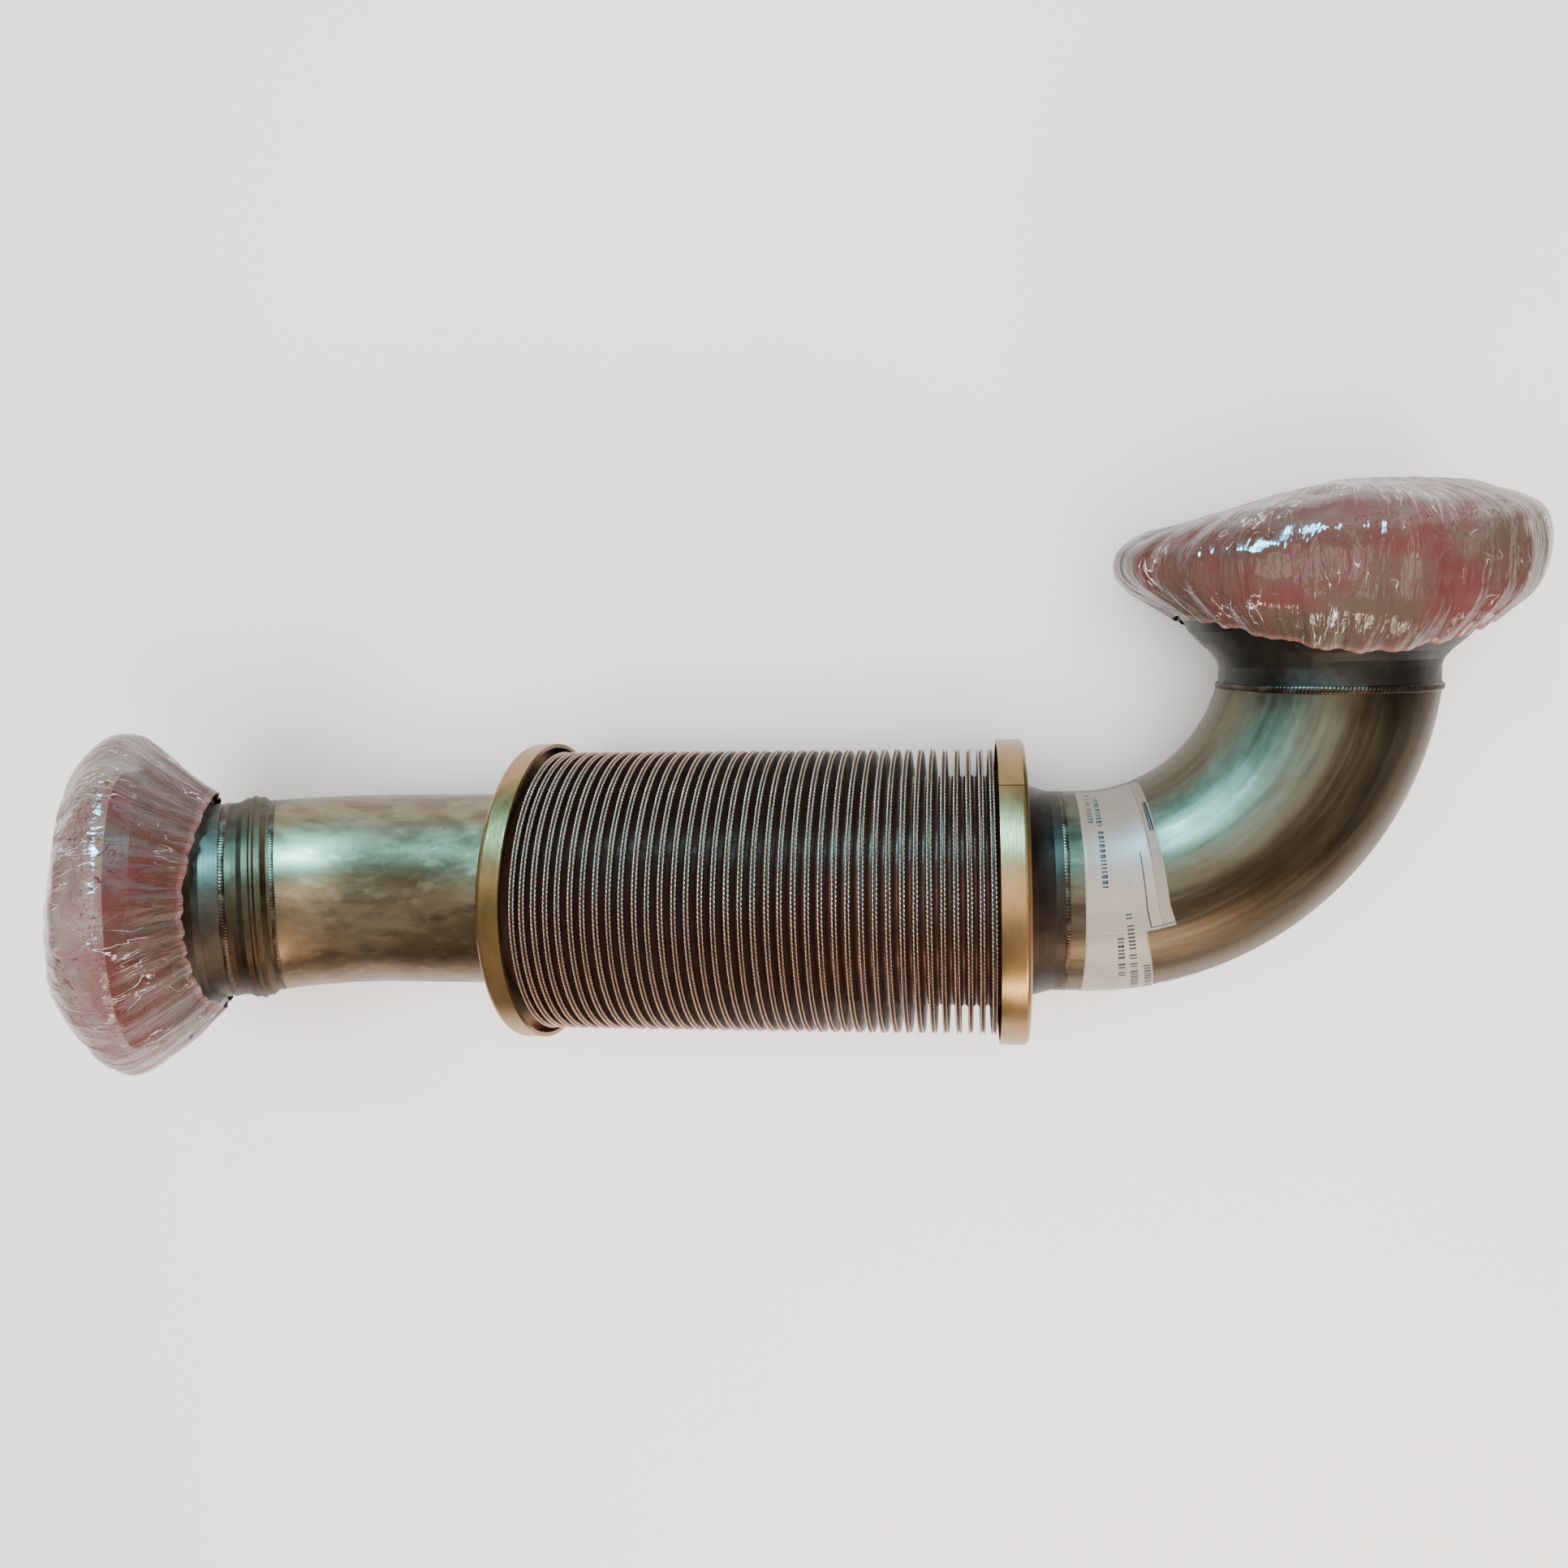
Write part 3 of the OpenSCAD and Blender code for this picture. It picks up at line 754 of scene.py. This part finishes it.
def film_sheet(name, centre, axis, e1, e2, shapes, folds, seed, body, node, floor=None,
               shove=(0, 0)):
    """a gathered cap of film over a flange

    shapes are its outlines in mm at 0, 90, 180 and 270 degrees from e1 towards e2; shove moves its top
    by mm along e1 and axis"""
    rows, cols = FILM_ROWS, FILM_COLS
    lines = [spline(s, rows) for s in shapes]
    grid, out_mm = np.zeros((rows, cols, 3)), np.zeros((rows, cols))
    c, d1, d2, ax = (np.array(v, float) for v in (centre, e1, e2, axis))
    for j in range(cols):
        a = 2 * math.pi * j / cols
        share = [max(0, math.cos(a)) ** 2, max(0, math.sin(a)) ** 2,
                 max(0, -math.cos(a)) ** 2, max(0, -math.sin(a)) ** 2]
        profile = sum(wi * li for wi, li in zip(share, lines))
        out_mm[:, j] = profile[:, 1]
        for i in range(rows):
            r, z = profile[i] / 1000
            grid[i, j] = c + ax * z + (d1 * math.cos(a) + d2 * math.sin(a)) * r
    du = np.roll(grid, -1, 1) - np.roll(grid, 1, 1)
    dv = np.gradient(grid, axis=0)
    normal = np.cross(dv, du)
    normal /= np.maximum(np.linalg.norm(normal, axis=2, keepdims=True), 1e-9)
    if np.mean(np.sum(normal[NORMAL_ROW] * (grid[NORMAL_ROW] - c), axis=1)) < 0:
        normal = -normal
    phases = [random.uniform(0, 6.28) for _ in range(8)]
    for j in range(cols):
        for i in range(rows):
            p = grid[i, j]
            grid[i, j] = p + normal[i, j] * film_lift(p, 2 * math.pi * j / cols, i / (rows - 1),
                                                      folds, seed, phases)
    top = np.clip((out_mm - SHOVE_FROM) / SHOVE_OVER, 0, 1)[:, :, None]
    grid += top * (d1 * shove[0] + ax * shove[1]) * MM
    # keep it off the metal inside it and, where it lies on the floor, off the floor
    for j in range(cols):
        for i in range(rows):
            q = grid[i, j] - c
            x1, x2 = float(q @ d1), float(q @ d2)
            r, need = math.hypot(x1, x2), film_clearance(float(q @ ax) * 1000) / 1000
            if r < need and r > 1e-6:
                grid[i, j] += (d1 * x1 + d2 * x2) * (need / r - 1)
            if floor is not None and grid[i, j][2] < floor:
                grid[i, j][2] = floor + 0.0003 * abs(math.sin(60 * grid[i, j][0]))
    grid[-1] = grid[-2].mean(0)
    run = np.concatenate(([0], np.cumsum(np.linalg.norm(np.diff(grid[:, 0], axis=0), axis=1))))
    uvs = [(FILM_UV_R * 2 * math.pi * j / cols, run[i]) for i in range(rows) for j in range(cols)]
    ob = new_object(name, grid.reshape(-1, 3), grid_faces(rows, cols), uvs)
    dress(ob, film_look(name + "_look", seed))
    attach(ob, body)
    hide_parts(*node)


def bag_depth(g, x, y, z):
    """how far out of the nearer flange's face a point is, in metres; the inlet's counts from 36 mm
    further in"""
    inlet = g.add(g.mul(g.sub(x, IN_FACE.x), IN_DIR.x), g.mul(g.sub(z, IN_FACE.z), IN_DIR.z))
    near_inlet = g.math("LESS_THAN", x, MID)
    return g.add(g.mul(near_inlet, g.add(inlet, 0.036)), g.mul(g.sub(1.0, near_inlet), y))


def film_look(name, seed):
    """thin pink-tinted packing film: clear with painted white highlights along its creases, a milky hem
    and faint wavy lines
    """
    g = Graph(name)
    u, v, _ = g.split(g.uv())
    x, y, z = g.split(g.coords())
    moved = g.join(g.add(x, seed), y, z)
    long_folds = g.noise(g.join(g.mul(u, 5.0), v, seed), 34, 3, 0.55, 0.5)
    crinkle = g.noise(moved, 46, 3, 0.5, 0.7)
    long_crease = g.mul(g.line(long_folds, 0.5, 0.010), g.step(g.noise(moved, 33, 2), 0.50, 0.60))
    short_crease = g.mul(g.line(crinkle, 0.5, 0.004), g.step(g.noise(moved, 60, 2), 0.60, 0.70))
    crease_highlights = g.math("MAXIMUM", long_crease, short_crease)
    hem = g.step(v, 0.0045, 0.0015)
    printed = g.mul(g.line(g.noise(moved, 88, 1.0, 0.5, 1.9), 0.5, 0.014, 0.008),
                    g.step(g.noise(moved, 24, 1.0), 0.53, 0.57))
    blush = g.noise(moved, 17, 3, 0.6)
    # painted shadow: low down and well inside the bag the film is darkened and made denser, for the
    # shadow under the flange seen through it
    under = g.mul(g.step(z, 0.034, 0.004), g.step(bag_depth(g, x, y, z), 0.040, 0.034))
    base = g.ramp(blush, (0.36, (0.112, 0.078, 0.056)), (0.47, (0.130, 0.068, 0.055)),
                  (0.56, (0.130, 0.036, 0.036)), (0.66, (0.150, 0.082, 0.070)))
    # painted highlight: the creases are coloured near white, and the alpha further down makes them more
    # opaque
    base = g.mix(crease_highlights, base, (0.97, 0.92, 0.90))
    base = g.mix(g.mul(hem, 0.4), base, (0.24, 0.11, 0.10))
    base = g.mix(g.mul(printed, 0.85), base, (0.085, 0.020, 0.045))
    # painted shadow on the low film inside the bag
    base = g.mix(g.mul(under, 0.9), base, (0.040, 0.026, 0.021))
    edge_on = g.t.nodes.new("ShaderNodeLayerWeight")
    edge_on.inputs[0].default_value = 0.3
    alpha = g.step(edge_on.outputs["Facing"], 0.25, 1.0, 0.64, 0.76)
    alpha = g.add(alpha, g.step(blush, 0.42, 0.60, 0.0, 0.14))
    for what, share in ((under, 0.25), (crease_highlights, 0.45), (hem, 0.3)):
        alpha = g.add(alpha, g.mul(what, share))
    alpha = g.add(alpha, g.mul(printed, 0.45), clamp=True)
    g.set(Base_Color=base, Alpha=alpha, Roughness=g.step(crinkle, 0.3, 0.7, 0.07, 0.16))
    g.set(IOR=1.45, Coat_Weight=0.15, Coat_Roughness=0.05)
    g.set(Normal=g.bump(long_folds, 0.0035, 0.7, g.bump(crinkle, 0.0016, 0.6)))
    return g.m


# the flare's outline in mm: distance from its narrow end, and growth over the pipe's radius
FLARE = [(0, 0), (9, 0), (12.2, 0.9), (16.5, 4.2), (21.5, 9.6), (27, 14.6), (32.6, 17.4)]
FLARE_START = -44       # mm from the flange's face
OVER_FACE, RIM_BACK = 2, -13
RIM_CLEAR_R, COLLAR_CLEAR_R, FLARE_GAP = 71.6, 53.6, 1.2


def film_clearance(z):
    """radius in mm that the film stays outside, z mm out from the flange's face"""
    if z > OVER_FACE:
        return 0.0
    if z > RIM_BACK:
        return RIM_CLEAR_R
    t = z - FLARE_START
    if t < 0:
        return COLLAR_CLEAR_R
    return 50.8 + float(np.interp(t, [p[0] for p in FLARE], [p[1] for p in FLARE])) + FLARE_GAP


# outlines of the film, hem first: (radius, distance out from the flange's face) in mm
OUTLET_RIGHT = [(73, -10), (79, -5), (85, 0), (90, 7), (92.5, 17), (91.5, 28), (86, 38), (68, 45),
                (44, 49), (15, 49), (0, 48)]
OUTLET_UPPER = [(59.5, -26), (67, -18.5), (73.2, -9), (74.6, 0), (75.6, 9), (75.8, 19), (73.5, 29),
                (66, 38), (45, 45), (17, 49.5), (0, 51)]
OUTLET_LEFT = [(72.5, -8), (79, -4), (88, 1), (97, 7), (101, 15), (98, 24), (86, 32), (64, 37),
               (38, 42), (14, 45), (0, 46)]
OUTLET_LOWER = [(60.5, -24), (67.5, -17.5), (73.2, -9), (74.2, 0), (75.2, 9), (75.4, 19), (73, 29),
                (65, 37), (44, 44), (16, 49), (0, 51)]
INLET_PLUS_Y = [(54.6, -38), (59, -33), (67, -25), (77, -15), (85, -6), (86.5, 2), (80, 11),
                (66, 20), (46, 26), (20, 30), (0, 31)]
INLET_UPPER = [(57, -28), (63, -21.5), (70, -14), (77, -6), (80, 1), (78, 9), (72, 17), (58, 24),
               (38, 29), (16, 31), (0, 31)]
INLET_MINUS_Y = [(54.6, -38), (59, -34), (67, -26), (75, -16), (82, -6), (84, 2), (79, 11),
                 (67, 20), (47, 26), (20, 30), (0, 31)]
INLET_LOWER = [(56, -33), (61, -27), (68, -18), (76, -8), (80, 0), (78, 9), (72, 17), (58, 24),
               (38, 29), (16, 31), (0, 31)]
film_sheet("outlet_film_sheet", Vector((0, 0, 0)), Y, X, Z,
           [OUTLET_RIGHT, OUTLET_UPPER, OUTLET_LEFT, OUTLET_LOWER], 58, 3.0, "outlet_film",
           ["outlet_film_wrap", "outlet_film_base"], FLOOR_Z + 0.0015, (3.0, 2.0))
film_sheet("inlet_film_sheet", IN_FACE, IN_DIR, Y, IN_NEAR,
           [INLET_PLUS_Y, INLET_UPPER, INLET_MINUS_Y, INLET_LOWER], 64, 11.0, "inlet_film",
           ["inlet_film_wrap"])


# ---------- floor, light, camera ----------
def build_floor():
    half = 6
    me = bpy.data.meshes.new("floor")
    me.from_pydata([(-half, -half, 0), (half, -half, 0), (half, half, 0), (-half, half, 0)], [],
                   [(0, 1, 2, 3)])
    floor = bpy.data.objects.new("floor", me)
    floor.location = (0, 0, FLOOR_Z - 0.0002)
    bpy.context.scene.collection.objects.link(floor)
    g = Graph("floor_paint")
    cloud = g.noise(g.coords(), 3, 3)
    g.set(Base_Color=g.mix(cloud, (0.93, 0.92, 0.91), (0.96, 0.95, 0.94)),
          Roughness=g.step(cloud, 0.3, 0.7, 0.75, 0.9))
    floor.data.materials.append(g.m)


def area_light(name, place, size, power, colour):
    """a rectangular light at place, aimed at the middle of the bellows"""
    data = bpy.data.lights.new(name, "AREA")
    data.shape = "RECTANGLE"
    data.size, data.size_y = size
    data.energy = power
    data.color = colour
    ob = bpy.data.objects.new(name, data)
    ob.location = place
    aim = Vector((MID, AXIS_Y, 0)) - Vector(place)
    ob.rotation_euler = aim.to_track_quat("-Z", "Y").to_euler()
    bpy.context.scene.collection.objects.link(ob)
    return ob


def build_lights():
    area_light("overhead", (-0.25, 0.25, 1.9), (1.5, 1.0), 16, (1.0, 0.90, 0.80))
    # light for the floor and the film that leaves no white reflection on the metal
    floor_fill = area_light("floor_fill", (-0.28, -0.1, 2.2), (2.6, 2.6), 112, (1.0, 0.99, 0.98))
    floor_fill.visible_glossy = False
    # a window that only shows as a reflection
    window = area_light("window", (-0.50, 0.95, 0.85), (0.30, 0.20), 105, (0.20, 0.72, 1.0))
    window.visible_diffuse = False
    area_light("warm_fill", (0.2, -1.5, 0.8), (0.9, 0.3), 22, (1.0, 0.80, 0.66))


def build_world():
    """a warm sky, dark at the horizon, for the metal to reflect, and a plain pale one behind the
    object"""
    world = bpy.data.worlds.new("studio")
    bpy.context.scene.world = world
    world.use_nodes = True
    tree = world.node_tree
    sky = tree.nodes["Background"]
    height = tree.nodes.new("ShaderNodeValToRGB")
    horizon, zenith = height.color_ramp.elements
    horizon.position, horizon.color = 0.05, (0.16, 0.13, 0.11, 1)
    zenith.position, zenith.color = 0.75, (1.0, 0.90, 0.80, 1)
    where = tree.nodes.new("ShaderNodeTexCoord")
    split = tree.nodes.new("ShaderNodeSeparateXYZ")
    tree.links.new(where.outputs["Generated"], split.inputs[0])
    tree.links.new(split.outputs[2], height.inputs[0])
    tree.links.new(height.outputs[0], sky.inputs[0])
    sky.inputs[1].default_value = 0.42
    plain = tree.nodes.new("ShaderNodeBackground")
    plain.inputs[0].default_value = (0.74, 0.735, 0.73, 1)
    path = tree.nodes.new("ShaderNodeLightPath")
    choose = tree.nodes.new("ShaderNodeMixShader")
    tree.links.new(path.outputs["Is Camera Ray"], choose.inputs[0])
    tree.links.new(sky.outputs[0], choose.inputs[1])
    tree.links.new(plain.outputs[0], choose.inputs[2])
    tree.links.new(choose.outputs[0], tree.nodes["World Output"].inputs[0])


def build_camera():
    """the lens, the place and the turns were found by fitting the render's outline to the photo's"""
    camera = bpy.data.cameras.new("camera")
    camera.sensor_width = 36
    camera.lens = 24.70
    camera.shift_x = -0.0466
    camera.shift_y = -0.0322
    camera.clip_start = 0.01
    eye = bpy.data.objects.new("camera", camera)
    turn = (Matrix.Rotation(0.011, 3, "Z") @ Matrix.Rotation(-0.103, 3, "Y")
            @ Matrix.Rotation(0.093, 3, "X"))
    place = Matrix.Translation((LIP_OUT - 0.0141, AXIS_Y + 0.13395, 0.555))
    eye.matrix_world = place @ turn.transposed().to_4x4()
    bpy.context.scene.collection.objects.link(eye)
    bpy.context.scene.camera = eye


build_floor()
build_lights()
build_world()
build_camera()
